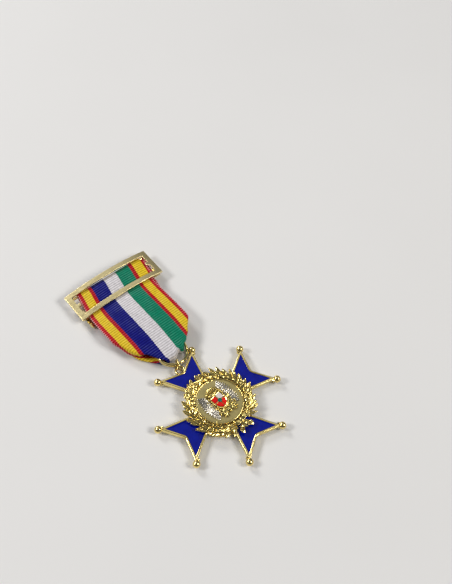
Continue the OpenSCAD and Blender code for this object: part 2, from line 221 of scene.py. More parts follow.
def band_section(width, thick, sides=16):
    """A flat section with round edges."""
    squareness = 0.45
    ring = circle(1, sides)
    return np.sign(ring) * abs(ring) ** squareness * (width / 2, thick / 2)


def spline(points, per_segment):
    """A smooth curve through the points."""
    points = np.asarray(points, float)
    p = np.vstack([2 * points[0] - points[1], points, 2 * points[-1] - points[-2]])
    t = (np.arange(per_segment) / per_segment)[:, None]
    out = []
    for a, b, c, d in zip(p[:-3], p[1:-2], p[2:-1], p[3:]):
        out.append((2 * b + (c - a) * t + (2 * a - 5 * b + 4 * c - d) * t ** 2
                    + (3 * b - a - 3 * c + d) * t ** 3) / 2)
    return np.vstack(out + [points[-1:]])


def rotation(degrees, axis):
    return Matrix.Rotation(math.radians(degrees), 3, axis)


def place(shape, at=(0, 0, 0), turn=0, pitch=0, roll=0, scale=(1, 1, 1)):
    """Rolls a shape about its own length, pitches its tip up, turns it about Z and moves it."""
    matrix = rotation(turn, "Z") @ rotation(pitch, "X") @ rotation(roll, "Y")
    return (shape[0] * scale) @ np.array(matrix).T + at, shape[1]


def mirror_x(shape):
    return shape[0] * (-1, 1, 1), [face[::-1] for face in shape[1]]


def on_cross(shape):
    return place(shape, at=(*CROSS_AT, 0), turn=CROSS_TILT)


def ball_profile(radius, start, steps):
    """A ball's profile, from an angle above its lowest point to its top."""
    angles = np.linspace(start, math.pi, steps + 1)
    return [(radius * math.sin(a), -radius * math.cos(a)) for a in angles]


def ball(radius, sides, at=(0, 0, 0), scale=(1, 1, 1)):
    return place(lathe(ball_profile(radius, 0, sides // 2), sides), at=at, scale=scale)


def leaf(length, width, thick, curl=0.2, vein=0.35, rows=8, cols=4):
    """A leaf or feather that grows along +Y: round-backed, with a sunk vein and a tip that curls up."""
    vein_half, foot_share = 0.22, 0.15
    u = np.linspace(0, 1, rows + 1)[:, None]
    v = np.linspace(-1, 1, cols + 1)[None]
    x = width / 2 * np.sin(math.pi * u ** 0.8) ** 0.75 * v
    y = length * u + 0 * v
    rise = curl * u ** 2 + 0 * v
    body = thick * np.sqrt(np.clip(1 - v ** 2, 0, 1)) * np.sin(math.pi * u) ** 0.35
    groove = vein * thick * np.exp(-(v / vein_half) ** 2) * np.sin(math.pi * u) ** 0.5
    upper = np.stack([x, y, rise + body - groove], -1)
    lower = np.stack([x, y, rise - foot_share * body], -1)
    return two_skins(upper, lower)


def resample(outline, step):
    """Splits an outline's sides into even parts, none longer than step."""
    outline = np.asarray(outline, float)
    out = []
    for a, b in zip(outline, np.roll(outline, -1, 0)):
        parts = max(1, int(math.ceil(np.linalg.norm(b - a) / step)))
        out += [a + (b - a) * k / parts for k in range(parts)]
    return np.array(out)


def edge_distance(points, outline):
    a, b = outline, np.roll(outline, -1, 0)
    ab = b - a
    t = ((points[:, None] - a) * ab).sum(2) / (ab * ab).sum(1)
    near = a + np.clip(t, 0, 1)[..., None] * ab
    return np.linalg.norm(points[:, None] - near, axis=2).min(1)


def inside(points, outline):
    x, y = points[:, :1], points[:, 1:]
    a, b = outline, np.roll(outline, -1, 0)
    crosses = (a[:, 1] > y) != (b[:, 1] > y)
    # A level side is never crossed, so its rise only has to differ from 0
    rise = np.where(b[:, 1] == a[:, 1], 1, b[:, 1] - a[:, 1])
    at = a[:, 0] + (y - a[:, 1]) * (b[:, 0] - a[:, 0]) / rise
    return (crosses & (x < at)).sum(1) % 2 == 1


def counterclockwise(outline):
    x, y = outline.T
    area = (x * np.roll(y, -1) - np.roll(x, -1) * y).sum()
    return outline[::-1] if area < 0 else outline


def filling(outline, step, rims):
    """Points inside an outline: rings along the edge, then staggered rows."""
    normal = unit(around(outline)[:, ::-1] * (-1, 1))
    low, high = outline.min(0), outline.max(0)
    rows = np.arange(low[1], high[1], step * ROW_SHARE)
    cells = np.array([(x + step / 2 * (j % 2), y)
                      for j, y in enumerate(rows) for x in np.arange(low[0], high[0], step)])
    found = []
    groups = [(outline + normal * rim, 0.8 * rim) for rim in rims] + [(cells, rims[-1] + 0.4 * step)]
    for points, room in groups:
        found.append(points[inside(points, outline) & (edge_distance(points, outline) > room)])
    return found


def plate(outline, base, height, step, rims=(0.08, 0.2)):
    """A solid on an outline, from a flat foot at base to a top of height(x, y, edge distance)."""
    outline = counterclockwise(resample(outline, step))
    count = len(outline)
    sides = [(i, (i + 1) % count) for i in range(count)]
    flat = np.vstack([outline] + filling(outline, step, rims))
    found = geometry.delaunay_2d_cdt([Vector(p) for p in flat], sides, [], 1, 1e-6)
    flat = np.array([tuple(v) for v in found[0]])
    triangles = [tuple(f) for f in found[2]]
    new_index = {i: k for k, ids in enumerate(found[3]) for i in ids if i < count}
    rim = [(a, b) for a, b in pairs([new_index[i] for i in range(count)]) if a != b]
    top = np.column_stack([flat, height(flat[:, 0], flat[:, 1], edge_distance(flat, outline))])
    foot = np.column_stack([flat, np.full(len(flat), base)])
    return np.vstack([top, foot]), close_below(triangles, rim, len(flat))


# ---- Materials ----

class Paint:
    """A Principled material and short ways to add nodes to it."""

    MIX_COLOURS = (6, 7)
    MIX_RESULT = 2

    def __init__(self, name, **values):
        self.material = bpy.data.materials.new(name)
        self.material.use_nodes = True
        self.tree = self.material.node_tree
        self.shader = self.tree.nodes["Principled BSDF"]
        for key, value in values.items():
            self.shader.inputs[key.replace("_", " ")].default_value = value

    def feed(self, socket, value):
        """Links a node's output to a socket, or sets the socket to a constant."""
        if isinstance(value, bpy.types.NodeSocket):
            self.tree.links.new(value, socket)
        else:
            socket.default_value = value

    def node(self, kind, inputs=None, **settings):
        made = self.tree.nodes.new("ShaderNode" + kind)
        for key, value in settings.items():
            setattr(made, key, value)
        for key, value in (inputs or {}).items():
            self.feed(made.inputs[key], value)
        return made

    def place(self, stretch=(1, 1, 1)):
        coordinates = self.node("TexCoord").outputs["Object"]
        return self.node("Mapping", {"Vector": coordinates, "Scale": stretch}).outputs["Vector"]

    def noise(self, where, scale, detail=3.0, roughness=0.55):
        values = {"Vector": where, "Scale": scale, "Detail": detail, "Roughness": roughness}
        return self.node("TexNoise", values).outputs["Fac"]

    def math(self, operation, a, b=0.0, c=0.0):
        return self.node("Math", {0: a, 1: b, 2: c}, operation=operation).outputs[0]

    def wave(self, value, period):
        """A sine of value, from -1 to 1."""
        return self.math("SINE", self.math("MULTIPLY", value, 2 * math.pi / period))

    def spread(self, value, low, high, to_low=0.0, to_high=1.0):
        """Maps low..high to to_low..to_high and holds the ends."""
        values = {"Value": value, "From Min": low, "From Max": high, "To Min": to_low, "To Max": to_high}
        return self.node("MapRange", values).outputs["Result"]

    def blend(self, factor, first, second):
        made = self.node("Mix", {0: factor}, data_type="RGBA")
        for index, colour in zip(self.MIX_COLOURS, (first, second)):
            self.feed(made.inputs[index], (*colour, 1) if isinstance(colour, (tuple, list)) else colour)
        return made.outputs[self.MIX_RESULT]

    def to(self, socket, value):
        self.tree.links.new(value, self.shader.inputs[socket])

    def bump(self, height, strength, distance):
        made = self.node("Bump", {"Height": height, "Strength": strength, "Distance": distance})
        self.to("Normal", made.outputs["Normal"])


def metal(name, bright, deep, rough, grain, grain_height, stretch=(1, 1, 1), recess_shade_strength=0.5, reach=0.6):
    """Plated metal: slow colour drift, fine grain or brushing, painted shade in the recesses and brighter
    worn ridges.
    """
    shaded = [0.8 * a + 0.2 * b for a, b in zip(bright, deep)]
    rubbed = [min(1, 1.12 * a + 0.03) for a in bright]
    paint = Paint(name, Metallic=1.0)
    plain, drawn = paint.place(), paint.place(stretch)
    drift = paint.noise(plain, 260, 2)
    fine = paint.noise(drawn, grain, 4, 0.65)
    open_sky = paint.node("AmbientOcclusion", {"Distance": reach * MM}, samples=8).outputs["AO"]
    recess_shade_mask = paint.spread(open_sky, 0.25, 0.9, 1.0, 0.0)
    ridge = paint.node("NewGeometry").outputs["Pointiness"]

    colour = paint.blend(paint.spread(drift, 0.35, 0.7), bright, shaded)
    # Painted shade: the deep colour is mixed in where ambient occlusion finds the surface closed in; the same
    # mask also roughens the recesses
    colour = paint.blend(paint.math("MULTIPLY", recess_shade_mask, recess_shade_strength), colour, deep)
    colour = paint.blend(paint.spread(ridge, 0.53, 0.62, 0.0, 0.6), colour, rubbed)
    paint.to("Base Color", colour)

    worked = paint.spread(fine, 0.3, 0.75, rough * 0.75, rough * 1.35)
    paint.to("Roughness", paint.math("ADD", worked, paint.math("MULTIPLY", recess_shade_mask, 0.12)))
    finest = paint.math("MULTIPLY", paint.noise(plain, 5200, 2), 0.35)
    paint.bump(paint.math("ADD", fine, finest), 0.6, grain_height * MM)
    return paint.material


def enamel(name, colour, deep):
    """Fired glass over metal: a slightly clouded colour under a clear glossy skin with a faint ripple."""
    ripple_height = 0.003
    paint = Paint(name, Roughness=0.16, Coat_Weight=0.08, Coat_Roughness=0.04, Specular_IOR_Level=0.14)
    where = paint.place()
    cloud = paint.noise(where, 420, 4)
    paint.to("Base Color", paint.blend(paint.spread(cloud, 0.35, 0.72), colour, deep))
    paint.to("Roughness", paint.spread(paint.noise(where, 2400, 3), 0.3, 0.8, 0.1, 0.26))
    ripple = paint.math("ADD", paint.noise(where, 300, 2), paint.math("MULTIPLY", cloud, 0.3))
    paint.bump(ripple, 0.5, ripple_height * MM)
    return paint.material


# Linear colours: the bright one, then the darker one painted into recesses as shade
gold = metal("polished_gold", (0.93, 0.74, 0.29), (0.34, 0.21, 0.05), 0.17,
             grain=2600, grain_height=0.003)
cast_gold = metal("cast_gold", (0.92, 0.73, 0.25), (0.28, 0.13, 0.02), 0.17,
                  grain=2200, grain_height=0.012, recess_shade_strength=0.75, reach=0.8)
satin_gold = metal("satin_gold", (0.62, 0.52, 0.22), (0.24, 0.18, 0.07), 0.42,
                   grain=3600, grain_height=0.02, reach=1.2)
brushed_gold = metal("brushed_gold", (0.84, 0.71, 0.37), (0.36, 0.26, 0.09), 0.34,
                     grain=2400, grain_height=0.002, stretch=(0.06, 1.4, 1), recess_shade_strength=0.3)
silver = metal("silvered_relief", (0.80, 0.75, 0.64), (0.24, 0.19, 0.12), 0.24,
               grain=2600, grain_height=0.008, recess_shade_strength=0.9, reach=0.5)
steel = metal("pin_steel", (0.62, 0.62, 0.61), (0.25, 0.24, 0.22), 0.24,
              grain=3000, grain_height=0.002, stretch=(0.08, 1, 1), recess_shade_strength=0.4)
blue_enamel = enamel("blue_enamel", (0.0, 0.007, 0.27), (0.0, 0.004, 0.19))
red_enamel = enamel("red_enamel", (0.80, 0.012, 0.010), (0.52, 0.005, 0.006))
white_enamel = enamel("white_enamel", (0.80, 0.74, 0.70), (0.70, 0.60, 0.56))
green_enamel = enamel("green_enamel", (0.02, 0.17, 0.12), (0.01, 0.10, 0.08))


# ---- Ribbon ----

RIB = 0.98
ROWS_PER_RIB = 4
RIBBON_W = 30.0
RIBBON_CELLS = 84
RIBBON_X = centre_of("ribbon")[0]
HALF_THICK = 0.085
RIB_RISE = 0.06
PICOT = 0.13
WARP = 0.14
# Width and linear colour of each woven stripe, from the left
SIDE_STRIPES = [(1.6, (0.62, 0.004, 0.012)), (3.25, (0.95, 0.66, 0.02)), (1.45, (0.56, 0.003, 0.010))]
MIDDLE_STRIPES = [(5.8, (0.001, 0.002, 0.21)), (5.8, (0.86, 0.82, 0.84)), (5.8, (0.0, 0.25, 0.135))]
STRIPES = SIDE_STRIPES + MIDDLE_STRIPES + SIDE_STRIPES[::-1]


def stripes(paint, share):
    """The stripes as a ramp with hard steps. Share runs from 0 to 1 across the strip."""
    ramp = paint.node("ValToRGB", {"Fac": share})
    ramp.color_ramp.interpolation = "CONSTANT"
    stops = ramp.color_ramp.elements
    edge = 0.0
    for k, (width, colour) in enumerate(STRIPES):
        stop = stops[k] if k < 2 else stops.new(edge / RIBBON_W)
        stop.position = edge / RIBBON_W
        stop.color = (*colour, 1)
        edge += width
    return ramp.outputs["Color"]


def ribbon_material():
    """Grosgrain: striped warp over thick weft ribs, with a sheen, painted shade in the rib valleys, painted
    highlights on the rib crests and pale picots along both selvages.
    """
    paint = Paint("grosgrain", Roughness=0.42, Specular_IOR_Level=0.12, Sheen_Weight=0.02)
    across = paint.node("Attribute", attribute_name="across").outputs["Fac"]
    along = paint.node("Attribute", attribute_name="along").outputs["Fac"]
    where = paint.place()
    rib = paint.wave(along, RIB * MM)
    warp = paint.wave(across, WARP * MM)

    # The stripes' edges wander a little with the ribs and with stray threads
    stray = paint.math("SUBTRACT", paint.noise(where, 2500, 2), 0.5)
    stray = paint.math("MULTIPLY", stray, 0.25 * MM)
    shift = paint.math("ADD", paint.math("MULTIPLY", rib, 0.07 * MM), stray)
    share = paint.math("MULTIPLY_ADD", paint.math("ADD", across, shift), 1 / (RIBBON_W * MM), 0.5)
    colour = stripes(paint, share)

    # Painted shade darkens the valleys between the ribs; the noise adds random unevenness in tone and the
    # warp wave fine darker lines along the threads
    valley_shade = paint.spread(rib, -1.0, 0.1, 0.34, 0.0)
    uneven = paint.spread(paint.noise(where, 900, 3), 0.3, 0.75, 0.0, 0.22)
    dark = paint.math("ADD", paint.math("ADD", valley_shade, uneven), paint.spread(warp, -1, 1, 0.0, 0.1))
    colour = paint.blend(dark, colour, (0.0, 0.0, 0.0))

    # Painted highlight: the rib crests are lightened towards a pale blue-white, more in some patches than
    # others, as a sheen on the threads
    highlight_patches = paint.spread(paint.noise(where, 260, 2), 0.35, 0.7, 0.02, 0.16)
    crest_highlight = paint.math("MULTIPLY", paint.spread(rib, 0.55, 1.0), highlight_patches)
    colour = paint.blend(crest_highlight, colour, (0.62, 0.72, 0.80))

    selvage = paint.spread(paint.math("ABSOLUTE", across), 14.55 * MM, 14.75 * MM)
    picot = paint.math("MULTIPLY", selvage, paint.spread(rib, -0.2, 0.4, 0.0, 0.6))
    paint.to("Base Color", paint.blend(picot, colour, (0.92, 0.66, 0.68)))

    paint.to("Roughness", paint.spread(rib, -1, 1, 0.62, 0.4))
    thread = paint.math("ADD", paint.math("MULTIPLY", warp, 0.5), paint.noise(where, 6000, 2))
    paint.bump(thread, 0.5, 0.012 * MM)
    return paint.material


# In these tables "up" is the distance up from the cross's centre. The strip starts at the seam, goes up
# round the carrier bar, down the front, round the split ring at FOOT and back up behind.
FOOT = 24.1
# The loop's centre line as (up, height, arch of the middle over the edges)
LOOP = [
    (56.5, 3.1, 0.1), (59, 3.12, 0.1), (62, 3.05, 0.1), (66, 2.4, 0), (68.6, 2.2, 0), (69.9, 2.45, 0),
    (70.3, 3.1, 0), (69.7, 3.68, 0.3), (68, 3.78, 1.0), (65, 3.72, 1.2), (61, 3.68, 1.2), (58, 3.65, 1.2),
    (54, 4.1, 1.2), (48, 4.8, 0.9), (43, 5.15, 0.6), (37.5, 5.25, 0.5), (31, 5.2, 0.35), (27, 5.12, 0.15),
    (25.2, 4.9, 0), (24.6, 4.2, 0), (24.4, 3.2, 0), (24.6, 2.2, 0), (25.2, 1.55, 0), (27, 1.3, 0),
    (31, 0.9, 0), (37.5, 0.5, 0), (43, 0.35, 0), (50, 0.62, 0), (54, 1.4, 0), (57.5, 2.76, 0.1),
    (60.5, 2.78, 0.1),
]
# Where each side, left -1 and right 1, starts to fold under, as (up, X)
FOLDS = {
    -1: {
        "front": [(FOOT, -4.7), (25.3, -5.4), (27, -6.9), (29, -8.0), (31, -9.2), (33, -10.9), (35, -12.2),
                  (37, -13.1), (39, -13.9), (44, -16.2), (47, -17.2)],
        "back": [(FOOT, -4.7), (28, -7.9), (31, -10.3), (33, -11.7), (35, -12.4), (39, -13.2), (45, -15.6)],
    },
    1: {
        "front": [(FOOT, 3.3), (25.0, 3.8), (25.6, 5.2), (27, 6.6), (29, 8.1), (31, 9.5), (35, 12.7),
                  (37.2, 13.7), (41, 14.3)],
        "back": [(FOOT, 3.3), (25.0, 3.8), (28, 6.8), (33, 10.5), (39, 14.0), (41.5, 14.4)],
    },
}
# Each fold as (up, radius, angle in degrees that it turns through)
BACK_ROLL = [(FOOT, 0.22, 180), (46, 0.3, 180)]
ROLLS = {
    -1: {
        "front": [(FOOT, 0.2, 180), (31.4, 0.2, 180), (33, 1.1, 155), (35, 0.9, 98), (37, 0.7, 80),
                  (47, 0.7, 70)],
        "back": BACK_ROLL,
    },
    1: {"front": [(FOOT, 0.2, 180), (31.4, 0.2, 180), (37, 0.9, 180)], "back": BACK_ROLL},
}
# How far the weave leans sideways, as (up, shift)
LEANS = {
    "front": [(FOOT, -0.3), (26, -1.3), (37, -1.0), (45, -1.2), (53, -1.35), (57, -1.2), (62.5, -0.45),
              (66.5, 0.3), (69.8, 0.7)],
    "back": [(FOOT, 0.3), (27, 1.4), (35, 1.0), (43, 0.0)],
}
# Above this the sides lie open
OPEN_ABOVE = 50
OUT_OF_REACH = 99.0


def by_face(front, tables, up, column=1):
    """A column of the front's or the back's table at each row of the strip."""
    found = {face: np.interp(up, *np.array(table)[:, (0, column)].T) for face, table in tables.items()}
    return np.where(front, found["front"], found["back"])


def loop_rows():
    """Each row's distance along the strip and its up, height and arch on the loop."""
    line = spline(LOOP, 40)
    run = np.concatenate([[0], np.cumsum(np.linalg.norm(np.diff(line[:, :2], axis=0), axis=1))])
    along = np.linspace(0, run[-1], int(run[-1] / RIB * ROWS_PER_RIB))
    return along, *(np.interp(along, run, line[:, k]) for k in range(3))


def spread_rows(across, up, front):
    """X before the sides fold: the weave leans, and its right side flares in the buckle's window."""
    flare, flare_from, flare_run = 2.2, 58.5, 3
    grow = np.minimum(np.arange(len(up)) / (np.argmax(up) - 1), 1)
    lean = by_face(front, LEANS, up) * grow
    flared = front * np.clip((up - flare_from) / flare_run, 0, 1) * grow
    right = np.clip(2 * across / RIBBON_W, 0, 1)
    return RIBBON_X + across + lean[:, None] + flared[:, None] * flare * right ** 4


def fold_sides(x, up, front):
    """Rolls each side under past its fold. Gives the new X and how far each point sinks."""
    room_share, flat_fold = 0.45, 3
    fold = {}
    for side in SIDES:
        fold[side] = np.where(up > OPEN_ABOVE, side * OUT_OF_REACH, by_face(front, FOLDS[side], up))
    room = room_share * (fold[1] - fold[-1])[:, None]
    sunk = np.zeros_like(x)
    for side in SIDES:
        line = fold[side][:, None]
        radius = by_face(front, ROLLS[side], up, 1)[:, None]
        limit = np.radians(by_face(front, ROLLS[side], up, 2))[:, None]
        beyond = side * (x - line)
        turned = np.clip(beyond / radius, 0, limit)
        rest = np.clip(beyond - limit * radius, 0, None)
        # A side folded flat crumples into the room between the folds
        rest = np.where(limit > flat_fold, room * (1 - np.exp(-rest / room)), rest)
        rolled = line + side * (radius * np.sin(turned) + rest * np.cos(limit))
        depth = radius * (1 - np.cos(turned)) + rest * np.sin(limit)
        x = np.where(beyond > 0, rolled, x)
        sunk = np.where(beyond > 0, depth, sunk)
    return x, sunk


def corner_dip(x, up):
    """How far the flared corner under the buckle dips."""
    dip_from, most, above = 14.7, 3, 60
    return 0.5 * np.clip(abs(x - RIBBON_X) - dip_from, 0, most) * (up > above)


def foot_notch(x, up):
    """How far the foot's edge is pushed up: round the ring's wire, and more and more to the right."""
    reach, slant, slant_from = 6, 0.9, 2.6
    near_foot = np.clip(1 - (up - FOOT) / reach, 0, 1) ** 2
    push = slant * np.clip(x - slant_from, 0, None)
    for height, middle, half in ((1.4, 1.1, 1.2), (-0.2, -1.5, 0.9)):
        push += height * np.exp(-((x - middle) / half) ** 2)
    return near_foot * push


def ribbon_surface(across, up, height, arch):
    """The strip's middle surface as a grid of points, after its sides are folded."""
    front = np.arange(len(up)) <= np.argmin(up)
    inward = unit(np.column_stack([-np.gradient(height), np.gradient(up)]))
    x, sunk = fold_sides(spread_rows(across, up, front), up, front)
    up = up[:, None]
    sunk = sunk + corner_dip(x, up)
    share = np.clip(2 * (x - RIBBON_X) / RIBBON_W, -1, 1)
    y = CROSS_AT[1] + up + foot_notch(x, up) + sunk * inward[:, :1]
    z = height[:, None] + arch[:, None] * (1 - share ** 2) + sunk * inward[:, 1:]
    return np.stack([x, y, z], -1)


def add_picots(surface, along):
    """Pulls both selvages out a little at every rib."""
    picot = PICOT * np.clip(np.sin(2 * math.pi * along / RIB), 0, 1)
    for edge, inner in ((0, 1), (-1, -2)):
        surface[:, edge] += unit(surface[:, edge] - surface[:, inner]) * picot[:, None]


def ribbon_sheet():
    """The sewn strip's shape, each vertex's place on the flat strip, and the strip's length."""
    thin_edge, edge_run, edge_margin = 0.45, 0.35, 0.12
    across = np.linspace(-RIBBON_W / 2, RIBBON_W / 2, RIBBON_CELLS + 1)
    along, up, height, arch = loop_rows()
    surface = ribbon_surface(across, up, height, arch)
    normal = unit(np.cross(np.gradient(surface, axis=1), np.gradient(surface, axis=0)))
    rib = np.abs(np.sin(math.pi * along / RIB + math.pi / 4)) ** 0.8
    edge = np.clip((RIBBON_W / 2 + edge_margin - abs(across)) / edge_run, thin_edge, 1)
    offset = normal * ((HALF_THICK + RIB_RISE * rib)[:, None] * edge)[..., None]
    add_picots(surface, along)
    places = {"across": np.tile(across, 2 * len(along)) * MM,
              "along": np.tile(np.repeat(along, len(across)), 2) * MM}
    return two_skins(surface + offset, surface - offset), places, along[-1]


sheet_shape, sheet_places, sheet_length = ribbon_sheet()
ribbon = build("ribbon_strip", sheet_shape, ribbon_material(), "root", "ribbon_cloth", "ribbon",
               sharp=180, attributes=sheet_places)


def thread_material():
    paint = Paint("sewing_thread", Roughness=0.7, Sheen_Weight=0.2)
    where = paint.place()
    wave = paint.node("TexWave", {"Vector": where, "Scale": 900.0, "Distortion": 1.5})
    twist = wave.outputs["Fac"]
    paint.to("Base Color", paint.blend(twist, (0.72, 0.69, 0.66), (0.42, 0.39, 0.36)))
    paint.bump(twist, 0.6, 0.03 * MM)
    return paint.material


def stitches():
    """A row of stitches across the back of the ribbon. Their ends go up into it."""
    count, length, radius, steps = 13, 1.4, 0.11, 9
    low, high = limits("seam_thread")
    sag = np.sin(np.linspace(0, math.pi, steps))
    shapes = []
    for start in np.linspace(low[0], high[0] - length, count):
        path = np.column_stack([start + np.linspace(0, length, steps), np.full(steps, (low[1] + high[1]) / 2),
                                high[2] + 0.05 - 0.1 * sag])
        shapes.append(sweep(path, circle(radius, 10), scale=0.4 + 0.6 * sag ** 0.5))
    return join(*shapes)


seam = build("seam_stitches", stitches(), thread_material(), "root", "thread", "seam_thread", sharp=35)


# ---- Buckle ----

def stations(marks, step):
    """Places along a line: the marks, and one or more between two marks, about a step apart."""
    places = []
    for a, b in zip(marks, marks[1:]):
        parts = max(2, int((b - a) / step))
        places += [a + (b - a) * k / parts for k in range(parts)]
    return np.array(places + [marks[-1]])


def cell_solid(xs, ys, top, thick, filled):
    """A solid from the filled cells of a grid. Its upper face has a height for each x."""
    rows, cols = len(xs), len(ys)
    upper = np.column_stack([np.repeat(xs, cols), np.tile(ys, rows), np.repeat(top, cols)])
    points = np.vstack([upper, upper - (0, 0, thick)])
    neighbours = np.pad(filled, 1)
    cells, rim = [], []
    for i, j in np.argwhere(filled).tolist():
        corner = i * cols + j
        cell = (corner, corner + cols, corner + cols + 1, corner + 1)
        beside = neighbours[[i + 1, i + 2, i + 1, i], [j, j + 1, j + 2, j + 1]]
        cells.append(cell)
        rim += [side for side, neighbour in zip(pairs(cell), beside) if not neighbour]
    return points, close_below(cells, rim, rows * cols)


def buckle():
    """The bent plate with its window and two prongs."""
    rise, thick, rail, stile, prong_half, prong_long = 2.0, 0.8, 2.2, 2.3, 0.7, 1.3
    low, high = limits("buckle_frame")
    middle = (low + high) / 2
    half_long, half_tall = (high - low)[:2] / 2
    window_x, window_y = half_long - stile, half_tall - rail
    prong_x = window_x - prong_long
    xs = stations([-half_long, -window_x, -prong_x, prong_x, window_x, half_long], 0.8)
    ys = np.array([-half_tall, -window_y, -prong_half, prong_half, window_y, half_tall])
    cell_x = abs(xs[:-1] + xs[1:])[:, None] / 2
    cell_y = abs(ys[:-1] + ys[1:])[None] / 2
    window = (cell_x < window_x) & (cell_y < window_y)
    prongs = (cell_x > prong_x) & (cell_y < prong_half)
    bend = (half_long ** 2 + rise ** 2) / (2 * rise)
    top = high[2] - bend + np.sqrt(bend ** 2 - xs ** 2)
    return cell_solid(middle[0] + xs, middle[1] + ys, top, thick, ~window | prongs)


soften(build("buckle_plate", buckle(), brushed_gold, "root", "gilt_metal", "buckle_frame", sharp=50), 0.2)


# ---- Rings ----

WIRE_SIDES = 18


def split_ring():
    """A flat coil of wire: one turn, a short climb to the next level, then most of a second turn."""
    wire = 0.95
    start_angle, climb_from, climb_to, total = 262, 300, 352, 652
    taper, blunt = 2.4, 0.35
    low, high = limits("split_ring")
    radius = (high[0] - low[0] - wire) / 2
    climb = high[2] - low[2] - wire
    turn = np.linspace(0, total, 280)
    level = np.clip((turn - climb_from) / (climb_to - climb_from), 0, 1)
    level = level * level * (3 - 2 * level)
    angle = np.radians(start_angle - turn)
    path = np.column_stack([radius * np.cos(angle), radius * np.sin(angle), climb * (level - 0.5)])
    ends = np.clip(np.minimum(turn, total - turn) / taper, blunt, 1) ** 0.5
    return sweep(path + (low + high) / 2, circle(wire / 2, WIRE_SIDES), scale=ends)


def closed_ring(centre, radius, wire, normal, along, gap=2.0):
    """A wire ring bent shut, with a hairline butt joint where its ends meet."""
    steps, worn_end = 90, 0.86
    normal, along = Vector(normal).normalized(), Vector(along).normalized()
    other = normal.cross(along)
    angle = np.radians(np.linspace(gap / 2, 360 - gap / 2, steps))[:, None]
    path = centre + radius * (np.cos(angle) * np.array(along) + np.sin(angle) * np.array(other))
    scale = np.ones(steps)
    scale[[0, -1]] = worn_end
    return sweep(path, circle(wire / 2, WIRE_SIDES), np.array(normal), scale=scale)


def jump_ring():
    """The wire ring that stands on edge between the eyelet and the split ring."""
    radius, wire = 2.05, 0.75
    joint_lean, joint_rise = 0.6, 0.8
    x, y = unit(centre_of("split_ring")[:2] - centre_of("eyelet")[:2])
    joint = (x * joint_lean, y * joint_lean, joint_rise)
    return closed_ring(centre_of("jump_ring"), radius, wire, (-y, x, 0), joint)


def eyelet_solder():
    """The fillets of solder on both faces, where the eyelet meets the arm."""
    upper = leaf(1.5, 2.6, 0.42, curl=0, vein=0, cols=8)
    lower = upper[0] * (1, 1, -1), upper[1]
    return on_cross(place(join(upper, lower), at=(0, 17.2, 1.9)))


def eyelet():
    radius, wire = 1.675, 0.85
    joint = polar(1, CROSS_TILT - 90, 0)
    return join(closed_ring(centre_of("eyelet"), radius, wire, UP, joint, gap=0.5), eyelet_solder())


build("split_ring_coil", split_ring(), gold, "split_ring", "gilt_metal", "split_ring")
build("jump_ring_wire", jump_ring(), gold, "jump_ring", "gilt_metal", "jump_ring")
build("eyelet_loop", eyelet(), gold, "pendant", "gilt_metal", "eyelet")


# ---- Cross ----

BALL_ANGLE = math.radians(22.5)
SIDE_SLOPE = math.tan(BALL_ANGLE)
SIDE_SHIFT = 0.3
NOTCH_Y = 18.1
NOTCH_SLOPE = 0.45
TIP_RADIUS = 24.15
BALL_R = 1.4
BALL_Z = 1.9
HUB_R = 8.8
ARM_LOW = 0.9
ARM_HIGH = 2.7
BORDER = 0.84
REVERSE_FLOOR = 0.3
RIVET_X = 5.0


def side_x(y, inset):
    """X of an arm's right side at y, moved in by inset."""
    return SIDE_SLOPE * y - SIDE_SHIFT - inset / math.cos(BALL_ANGLE)


def arm_outline(inset, root, soft=0.9, steps=6):
    """An arm's outline moved in by inset: straight sides, two points and a notch with a soft corner."""
    base = NOTCH_Y - inset / math.cos(math.atan(NOTCH_SLOPE))
    point_x = side_x(base, inset) / (1 - SIDE_SLOPE * NOTCH_SLOPE)
    right = [(side_x(root, inset), root), (point_x, base + NOTCH_SLOPE * point_x)]
    corner = []
    for k in range(steps + 1):
        x = soft * (1 - 2 * k / steps)
        corner.append((x, base + NOTCH_SLOPE * (x * x + soft * soft) / (2 * soft)))
    left = [(-x, y) for x, y in right[::-1]]
    return right + corner + left


def arm():
    """One arm: a flat back, an upright edge, a border bevelled on both sides and the enamel's bed."""
    # The border's section as (inset, depth below the top, y of the arm's root)
    section = [(0, ARM_HIGH - ARM_LOW, 5), (0, 0.3, 5), (0.1, 0.1, 5), (0.24, 0.01, 5), (0.36, 0, 7.5),
               (0.6, 0.02, 8.6), (0.78, 0.12, 9), (0.88, 0.3, 9.3), (0.9, 0.5, 9.3)]
    rings = []
    for inset, depth, root in section:
        rings.append([(x, y, ARM_HIGH - depth) for x, y in arm_outline(inset, root)])
    return tube(np.array(rings))


def tip_ball():
    """A ball on its collar, drawn along +Y from the arm's point."""
    neck, steps = 0.62, 18
    meet = math.asin(neck / BALL_R)
    collar = [(0, -2.1), (0.5, -2.05), (0.72, -1.75), (neck + 0.04, -1.42)]
    points, faces = lathe(collar + ball_profile(BALL_R, meet, steps), 32)
    return points[:, [0, 2, 1]], faces


def cross():
    """The hub, four arms and a ball at each arm's two points."""
    shapes = [lathe([(0, ARM_LOW), (HUB_R, ARM_LOW), (HUB_R, ARM_HIGH), (0, ARM_HIGH)], 64)]
    for k in range(4):
        shapes.append(place(arm(), turn=90 * k))
        for side in SIDES:
            turn = 90 * k + side * math.degrees(BALL_ANGLE)
            shapes.append(place(tip_ball(), at=polar(TIP_RADIUS, turn + 90, BALL_Z), turn=turn))
    return join(*shapes)


def enamel_field(turn):
    """The glass in one arm: it dips below the border and swells a little in the middle."""
    sunk, meniscus, swell, foot = 0.14, 0.13, 0.1, 0.5

    def height(x, y, d):
        return ARM_HIGH - sunk - meniscus * (1 - np.exp(-d / 0.5)) + swell * (1 - np.exp(-(d / 1.6) ** 2))

    outline = arm_outline(BORDER, 9.35)
    return place(plate(outline, ARM_HIGH - foot, height, 0.55), turn=turn)


